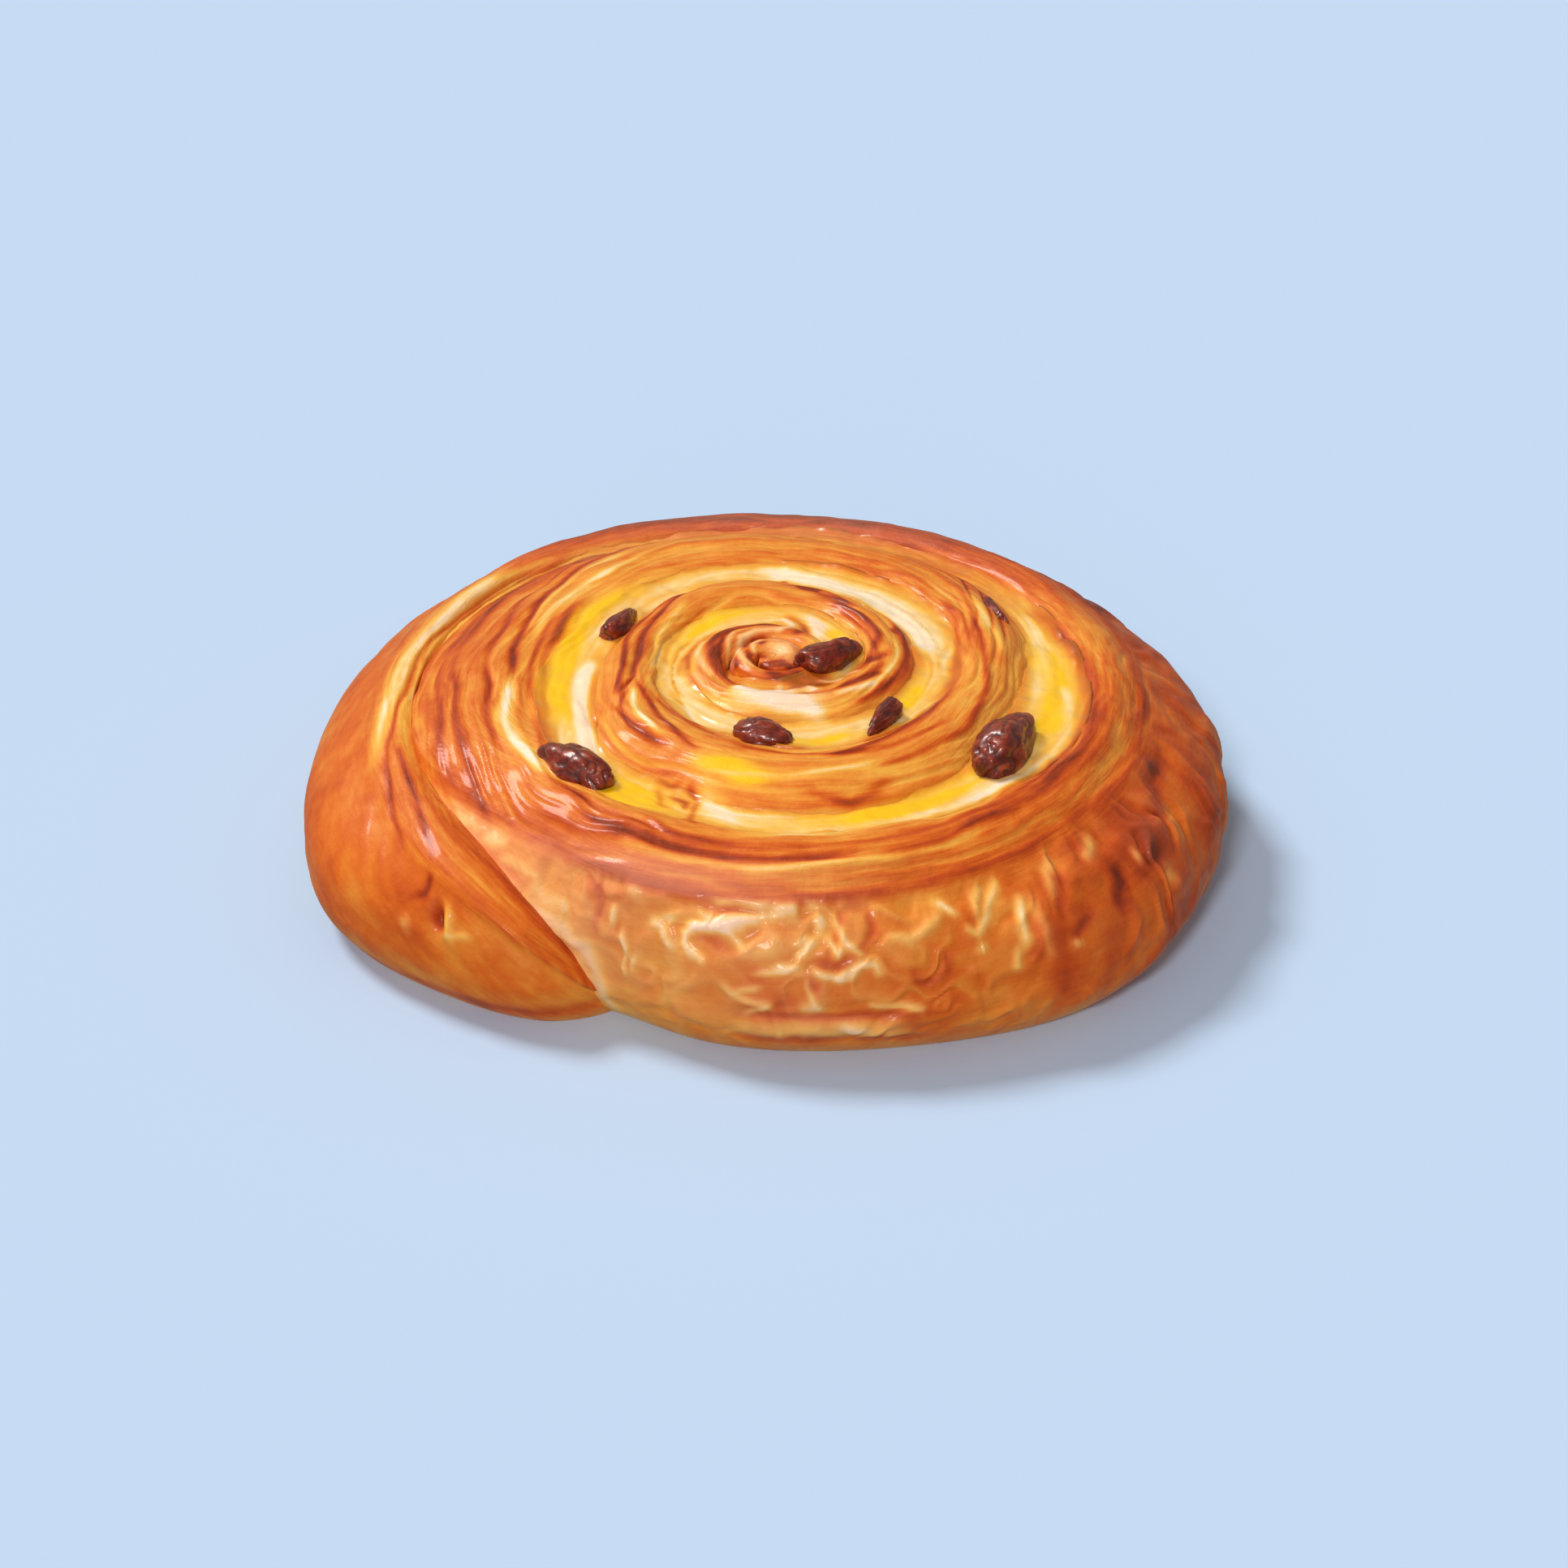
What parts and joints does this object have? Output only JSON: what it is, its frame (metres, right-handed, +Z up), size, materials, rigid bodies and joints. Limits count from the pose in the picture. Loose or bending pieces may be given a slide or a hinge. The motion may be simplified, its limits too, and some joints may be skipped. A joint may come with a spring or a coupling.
{
  "type": "raisin bun",
  "caption": "Spiral raisin bun: a wound strip of laminated dough with baked custard and raisins between its turns, flat underneath.",
  "frame": {"origin": "centre of the bun's box on the flat underside that it rests on", "axes": "+Z up out of the cut top, +X to the right and +Y to the back as the bun is seen in the picture, the strip's outer end at the front left"},
  "size_m": [0.1162, 0.1048, 0.0302],
  "materials": {
    "dough": "baked laminated dough, egg-washed, golden to dark brown, satin",
    "custard": "baked custard, yellow to cream, glossy",
    "raisin": "wrinkled dark raisin skin, glossy"
  },
  "bodies": {
    "root": {"dough": "dough", "custard": "custard", "raisin_1": "raisin", "raisin_2": "raisin", "raisin_3": "raisin", "raisin_4": "raisin", "raisin_5": "raisin", "raisin_6": "raisin", "raisin_7": "raisin"}
  },
  "joints": []
}
